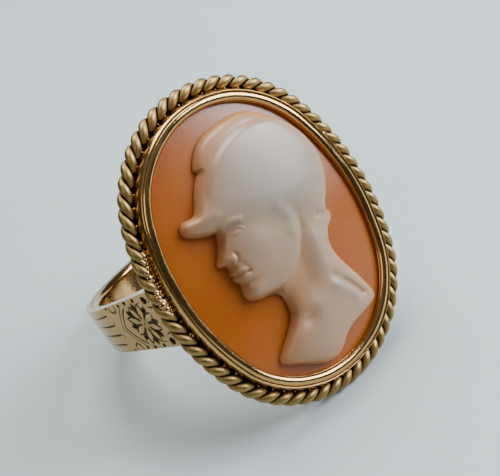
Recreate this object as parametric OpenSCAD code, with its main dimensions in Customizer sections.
// Cameo ring: an oval shell cameo in a rubbed-over gold setting, edged with a rope of two twisted wires,
// on a shank whose shoulders widen towards the head. The ring lies on its side, as it rests by itself:
// on the lower end of the rope and on the lower edge of the shank's back. All sizes are in millimetres.

/* [Head] */
// Half length of the setting's wall, along the finger
head_a = 10.9; // [10.7:0.1:12]
// Half width of the setting's wall, across the finger
head_b = 8.5; // [8.3:0.1:9]
// Radius of the oval's two ends
end_r = 7.95; // [6.8:0.05:8.1]
// Height of the wall's lower edge, from the plane where wall and rope meet
wall_low = -0.88; // [-1.2:0.02:-0.86]
// Thickness of the wall beside the stone
wall_t = 0.45; // [0.35:0.05:0.6]
// Width of the rubbed-over edge, from the wall's outside to the stone
lip_w = 0.93; // [0.8:0.01:1.1]
// Height of the rubbed-over edge
lip_top = 0.98; // [0.9:0.02:1.1]
// Thickness of the plate behind the stone
plate_t = 0.4; // [0.3:0.05:0.5]
// Reach of the ledge that carries the rope
ledge_w = 0.72; // [0.4:0.02:0.76]
// Thickness of the ledge that carries the rope
ledge_t = 0.18; // [0.1:0.02:0.2]

/* [Rope] */
// Twists of the rope round the head
rope_turns = 31; // [20:1:31]
// Distance from the rope's axis to the middle of each wire
rope_lay = 0.285; // [0.285:0.005:0.3]
// Radius of one wire of the rope
wire_r = 0.25; // [0.2:0.005:0.25]
// Height of the rope's axis
rope_z = -0.12; // [-0.14:0.02:0]
// Gap between the rope and the wall
rope_gap = 0.03; // [0.02:0.01:0.06]

/* [Shank] */
// Radius of the finger hole
finger_r = 8.9; // [8:0.05:8.9]
// Thickness of the shank
shank_t = 1.1; // [0.9:0.05:1.4]
// Depth of the finger hole's axis below the plane where wall and rope meet
finger_deep = 9.8; // [9.8:0.05:10.4]
// Width of the shank at its back
back_w = 2.8; // [1.8:0.1:3.6]
// Width of the shoulders where they meet the head
shoulder_w = 4.6; // [3.8:0.1:6]
// Reach of the shoulders to each side, where they meet the head
shoulder_x = 8.6; // [7.2:0.1:8.8]
// Half width of the flat between the shoulders' tops
saddle_x = 5.6; // [4:0.1:6]

/* [Cameo] */
// Height of the stone's edge under the gold
stone_edge = 0.42; // [0.36:0.02:0.46]
// Rise of the stone's face from its edge to its middle
stone_rise = 0.62; // [0.3:0.02:0.9]
// Height of the carving at the helmet
carve_h = 1.8; // [1.2:0.1:2.4]
// Lean of the carved head, towards its back
head_lean = 8; // [0:1:12]
// Gap between pieces that lie on each other
seat_gap = 0.05; // [0.04:0.01:0.06]

/* [Hidden] */
gold = "#c7a566";
$fn = 96;

// The oval is four arcs: two ends of end_r, and two sides of side_r that meet them smoothly
side_r = (pow(head_a - end_r, 2) + head_b * head_b - end_r * end_r) / (2 * (head_b - end_r));
end_y = head_a - end_r;
side_x = side_r - head_b;
end_turn = atan2(end_y, side_x);

// Lengths along the oval that lies off outside the wall
function side_half(off) = (side_r + off) * end_turn * PI / 180;
function end_whole(off) = (end_r + off) * (180 - 2 * end_turn) * PI / 180;
function oval_length(off) = 4 * side_half(off) + 2 * end_whole(off);

// Middle of the arc, its radius and the turn at the length s along that oval, from the right-hand side
function turn(s, radius) = s / radius * 180 / PI;
function arc_at(s, side, end, ls, le) =
    s < ls ? [[-side_x, 0], side, turn(s, side)]
    : s < ls + le ? [[0, end_y], end, end_turn + turn(s - ls, end)]
    : s < 3 * ls + le ? [[side_x, 0], side, 180 - end_turn + turn(s - ls - le, side)]
    : s < 3 * ls + 2 * le ? [[0, -end_y], end, 180 + end_turn + turn(s - 3 * ls - le, end)]
    : [[-side_x, 0], side, 360 - end_turn + turn(s - 3 * ls - 2 * le, side)];
function oval_at(s, off) = arc_at(s, side_r + off, end_r + off, side_half(off), end_whole(off));
function oval_point(s, off) = let (o = oval_at(s, off)) o[0] + o[1] * [cos(o[2]), sin(o[2])];

// The oval's outline in steps of equal length
function oval_outline(off, steps) = [for (i = [0:steps - 1]) oval_point(i * oval_length(off) / steps, off)];

// Where the wall's outer face turns over, from its foot: the part of the ring that lies furthest forward
edge_out = 0.03;
edge_up = 0.83;

// The resting pose: the plane that the rope's lower end and the shank's lower back edge both touch
rope_r = rope_lay + wire_r;
rope_off = rope_gap + rope_r;
rope_end = head_a + rope_off;
shank_r = finger_r + shank_t;
back_deep = finger_deep + shank_r;
rest_dy = rope_end - back_w / 2;
rest_dz = back_deep + rope_z;
rest_lean = atan2(rest_dy, rest_dz) + asin(rope_r / norm([rest_dy, rest_dz]));
rest_up = cos(rest_lean) * back_w / 2 + sin(rest_lean) * back_deep;
rest_front = -sin(rest_lean) * (head_a + edge_out) - cos(rest_lean) * edge_up;
rest_back = sin(rest_lean) * back_w / 2 + cos(rest_lean) * back_deep;

// Puts the ring down: its finger axis leans rest_lean from upright, its face looks forwards and up
module at_rest() {
    translate([0, -(rest_front + rest_back) / 2, rest_up]) rotate([90 - rest_lean, 0, 0]) children();
}

// Sweeps a profile round the oval, x measured outwards from the wall's outer face
module round_oval() {
    translate([0, end_y, 0]) rotate([0, 0, end_turn])
        rotate_extrude(angle = 180 - 2 * end_turn) translate([end_r, 0]) children();
    translate([0, -end_y, 0]) rotate([0, 0, 180 + end_turn])
        rotate_extrude(angle = 180 - 2 * end_turn) translate([end_r, 0]) children();
    translate([-side_x, 0, 0]) rotate([0, 0, -end_turn])
        rotate_extrude(angle = 2 * end_turn) translate([side_r, 0]) children();
    translate([side_x, 0, 0]) rotate([0, 0, 180 - end_turn])
        rotate_extrude(angle = 2 * end_turn) translate([side_r, 0]) children();
}

// Section of the wall: a ledge under the rope, upright outside, a fine crease, and a rounded edge
// rubbed down over the stone
crease = 0.2;
bead_mid = (crease + lip_w) / 2;
bead_half = (lip_w - crease) / 2;
bead_low = 0.6;
lip_lift = 0.12;
module wall_section() {
    polygon(concat(
        [[-wall_t, wall_low], [ledge_w, wall_low], [ledge_w, wall_low + ledge_t], [0, wall_low + ledge_t]],
        [[0.02, 0.5], [0.07, 0.72], [edge_out, edge_up], [-0.06, 0.88]],
        [[-crease + 0.03, 0.85], [-crease, 0.78]],
        [for (i = [1:9]) let (t = i * 18) [-bead_mid + bead_half * cos(t),
            bead_low + (lip_top - bead_low) * pow(sin(t), 0.7)]],
        [[-lip_w, bead_low], [-lip_w + 0.04, stone_edge + lip_lift], [-wall_t, stone_edge + seat_gap]]
    ));
}

// The plate lies a little inside the wall's lower edge
plate_inset = 0.03;
plate_low = wall_low + plate_inset;
module plate() {
    translate([0, 0, plate_low]) linear_extrude(plate_t)
        polygon(oval_outline(-wall_t / 2, 48));
}

// Outline of the shank along the finger's direction, before the finger hole is cut: a round band, and
// shoulders that leave it at the turn shoulder_low and run out to the head
shoulder_low = 8;
shoulder_top = wall_low + 0.2;
shoulder_sink = 0.05;
module shank_blank() {
    leave = (shank_r - shoulder_sink) * [cos(shoulder_low), sin(shoulder_low)] - [0, finger_deep];
    rotate([90, 0, 0]) translate([0, 0, -shoulder_w]) {
        translate([0, -finger_deep, 0]) cylinder(r = shank_r, h = 2 * shoulder_w);
        linear_extrude(2 * shoulder_w) polygon([
            [-shoulder_x, shoulder_top], [shoulder_x, shoulder_top], leave, [-leave[0], leave[1]]]);
    }
}

// Keeps the shank's width: narrow at the back, wider towards the head
module shank_width() {
    top = wall_low + 0.1;
    spare = 0.5;
    low_w = back_w - (shoulder_w - back_w) * spare / (top + back_deep);
    rotate([90, 0, 90]) translate([0, 0, -shank_r - 1]) linear_extrude(2 * shank_r + 2) polygon([
        [-low_w / 2, -back_deep - spare], [low_w / 2, -back_deep - spare],
        [shoulder_w / 2, top], [-shoulder_w / 2, top]]);
}

module shank() {
    difference() {
        intersection() {
            shank_blank();
            shank_width();
        }
        translate([0, shoulder_w, -finger_deep]) rotate([90, 0, 0])
            cylinder(r = finger_r, h = 2 * shoulder_w);
        translate([-saddle_x, -shoulder_w, -finger_deep])
            cube([2 * saddle_x, 2 * shoulder_w, finger_deep]);
    }
}

// Wall, plate and shank are soldered, so they are one solid
module setting() {
    color(gold) at_rest() {
        round_oval() wall_section();
        plate();
        shank();
    }
}

// One wire of the rope: a ring of points round the wire at each step, joined into a closed tube
rings_per_turn = 10;
wire_sides = 6;
rope_length = oval_length(rope_off);
ring_count = rings_per_turn * rope_turns;
twist = 360 * rope_turns / rope_length;
function wire_ring(i, first) =
    let (
        s = i * rope_length / ring_count,
        o = oval_at(s, rope_off),
        out = [cos(o[2]), sin(o[2]), 0],
        along = [-sin(o[2]), cos(o[2]), 0],
        phi = first + twist * s,
        radial = cos(phi) * out + [0, 0, sin(phi)],
        turning = [0, 0, cos(phi)] - sin(phi) * out,
        axis = along + rope_lay * twist * PI / 180 * turning,
        across = cross(axis / norm(axis), radial),
        mid = concat(o[0] + o[1] * [out[0], out[1]], rope_z) + rope_lay * radial
    )
    [for (j = [0:wire_sides - 1]) let (t = 360 * j / wire_sides)
        mid + wire_r * (cos(t) * radial + sin(t) * across)];

module rope_wire(first) {
    points = [for (i = [0:ring_count - 1]) each wire_ring(i, first)];
    faces = [for (i = [0:ring_count - 1], j = [0:wire_sides - 1]) let (
            i2 = (i + 1) % ring_count,
            j2 = (j + 1) % wire_sides,
            p = i * wire_sides + j,
            q = i * wire_sides + j2,
            r = i2 * wire_sides + j2,
            s = i2 * wire_sides + j
        ) each [[p, r, q], [p, s, r]]];
    color(gold) at_rest() polyhedron(points, faces);
}

// The stone's face: a low dome over the oval
stone_off = -wall_t - seat_gap;
stone_a = head_a + stone_off;
stone_b = head_b + stone_off;
function dome(x, y) = stone_edge + stone_rise * (1 - pow(x / stone_b, 2) - pow(y / stone_a, 2));

// Orange layer of the shell: the dome above, straight edges, a flat back that seats on the plate
stone_steps = 64;
stone_rings = 5;
stone_low = plate_low + plate_t + seat_gap;
module cameo_ground() {
    rim = oval_outline(stone_off, stone_steps);
    points = concat(
        [for (k = [stone_rings:-1:1], p = rim) let (q = p * k / stone_rings)
            [q[0], q[1], dome(q[0], q[1])]],
        [[0, 0, dome(0, 0)]],
        [for (p = rim) [p[0], p[1], stone_low]]
    );
    tip = stone_rings * stone_steps;
    faces = concat(
        [for (k = [0:stone_rings - 2], i = [0:stone_steps - 1]) let (
            i2 = (i + 1) % stone_steps, p = k * stone_steps) each [
            [p + i, p + stone_steps + i, p + stone_steps + i2], [p + i, p + stone_steps + i2, p + i2]]],
        [for (i = [0:stone_steps - 1]) let (i2 = (i + 1) % stone_steps, p = tip - stone_steps)
            [p + i, tip, p + i2]],
        [for (i = [0:stone_steps - 1]) let (i2 = (i + 1) % stone_steps) each [
            [i, i2, tip + 1 + i2], [i, tip + 1 + i2, tip + 1 + i]]],
        [[for (i = [0:stone_steps - 1]) tip + 1 + i]]
    );
    color("#c9782f") at_rest() polyhedron(points, faces);
}

// White layer: a helmeted head in profile, looking left, with its neck and a cut bust.
// Each row crosses the carving: height, front edge, back edge and how much of the full relief it has
HEIGHT = 0;
FRONT = 1;
BACK = 2;
SHARE = 3;
carving = [
    [8.62, 0.7, 2.4, 0.25],    // crown of the helmet
    [8.2, -1.4, 3.7, 0.5],
    [7.4, -2.55, 4.6, 0.72],
    [6.4, -3.05, 5.3, 0.88],
    [5.4, -3.6, 5.75, 0.97],
    [4.6, -4.2, 5.97, 1],      // top of the visor
    [4.1, -5.6, 6.05, 1],      // tip of the visor
    [3.5, -5.8, 6.05, 1],
    [3.0, -5.45, 5.98, 1],
    [2.5, -4.3, 5.85, 0.98],   // root of the visor
    [2.1, -3.85, 5.7, 0.98],   // root of the nose
    [1.2, -4.3, 5.3, 0.96],
    [0.45, -4.72, 4.7, 0.94],  // tip of the nose
    [0.05, -4.12, 4.52, 0.93],
    [-0.6, -4.2, 4.8, 0.92],   // lips, and the knob at the nape
    [-1.2, -4.1, 4.2, 0.9],
    [-1.7, -3.85, 3.75, 0.88],
    [-2.4, -3.95, 3.6, 0.84],  // chin
    [-3.0, -3.5, 3.62, 0.78],
    [-3.4, -1.75, 3.72, 0.72], // throat
    [-4.2, -1.45, 4.1, 0.7],
    [-5.3, -1.65, 4.64, 0.7],
    [-6.4, -2.75, 5.1, 0.68],
    [-7.3, -3.6, 5.34, 0.62],  // front corner and shoulder of the cut bust
    [-7.8, -3.5, 4.6, 0.56],
    [-8.5, -2.3, 2.0, 0.48],
    [-9.1, -1.3, 0.8, 0.34],
    [-9.35, -0.7, 0.15, 0.2]
];
row_step = 0.32;
row_top = carving[0][HEIGHT];
row_low = carving[len(carving) - 1][HEIGHT];
row_count = round((row_top - row_low) / row_step);
row_columns = 18;
function row_value(y, column) =
    lookup(y, [for (r = [len(carving) - 1:-1:0]) [carving[r][HEIGHT], carving[r][column]]]);

// The helmet's lower rim runs from the visor down to the nape, and the shell above it stands proud by
// rim_step. The crest band lies crest_step deeper, the ear guard guard_step higher, the jaw's underside
// falls away. The carving's edge stands straight up for edge_share before it rounds over
rim_front = 3.2;
rim_fall = 0.47;
rim_step = 0.24;
crest_step = 0.2;
crest_mid = [1.1, 3.4];
crest_r = 3.7;
guard_step = 0.2;
guard_mid = [1.3, 0.4];
guard_r = 1.2;
jaw_drop = 0.35;
edge_share = 0.16;
body_share = 0.85;
function rim_height(x) = rim_front - rim_fall * (x + 4);
function step_up(value, width) = let (t = min(1, max(0, value / width))) t * t * (3 - 2 * t);
function carve(x, y, front, back, share) =
    let (
        t = (2 * x - front - back) / (back - front),
        full = pow(max(0, 1 - pow(abs(t), 3)), 0.5),
        helmet = rim_step * step_up(y - rim_height(x), 0.8),
        crest = crest_step * step_up(norm([x, y] - crest_mid) - crest_r, 0.7)
            * step_up(y - crest_mid[1], 1.5),
        ear_guard = guard_step * step_up(guard_r - norm([x - guard_mid[0], (y - guard_mid[1]) / 1.4]), 0.8),
        jaw = jaw_drop * step_up(-y - 1.7, 1) * step_up(-x - 0.6, 1) * step_up(y + 3.6, 0.4)
    )
    edge_share * share + full * (carve_h * share * body_share + helmet - crest + ear_guard - jaw);

// Turns a place on the carving by the head's lean
function leaned(x, y) = [x * cos(head_lean) + y * sin(head_lean), y * cos(head_lean) - x * sin(head_lean)];
function carved_row(i) =
    let (
        y = row_top + (row_low - row_top) * i / row_count,
        front = row_value(y, FRONT),
        back = row_value(y, BACK),
        share = row_value(y, SHARE)
    )
    concat(
        [for (j = [0:row_columns]) let (x = back + (front - back) * j / row_columns, p = leaned(x, y))
            [p[0], p[1], dome(p[0], p[1]) + seat_gap + carve(x, y, front, back, share)]],
        [for (j = [0:3]) let (x = front + (back - front) * j / 3, p = leaned(x, y))
            [p[0], p[1], dome(p[0], p[1]) + seat_gap]]
    );

module cameo_relief() {
    size = row_columns + 5;
    points = [for (i = [0:row_count]) each carved_row(i)];
    faces = concat(
        [for (i = [0:row_count - 1], j = [0:size - 1]) let (
            j2 = (j + 1) % size, p = i * size) each [
            [p + j, p + size + j2, p + j2], [p + j, p + size + j, p + size + j2]]],
        [[for (j = [0:size - 1]) j]],
        [[for (j = [size - 1:-1:0]) row_count * size + j]]
    );
    color("#efe4d8") at_rest() polyhedron(points, faces);
}

setting();
rope_wire(0);  // rope_wire_1
rope_wire(180);  // rope_wire_2
cameo_ground();
cameo_relief();
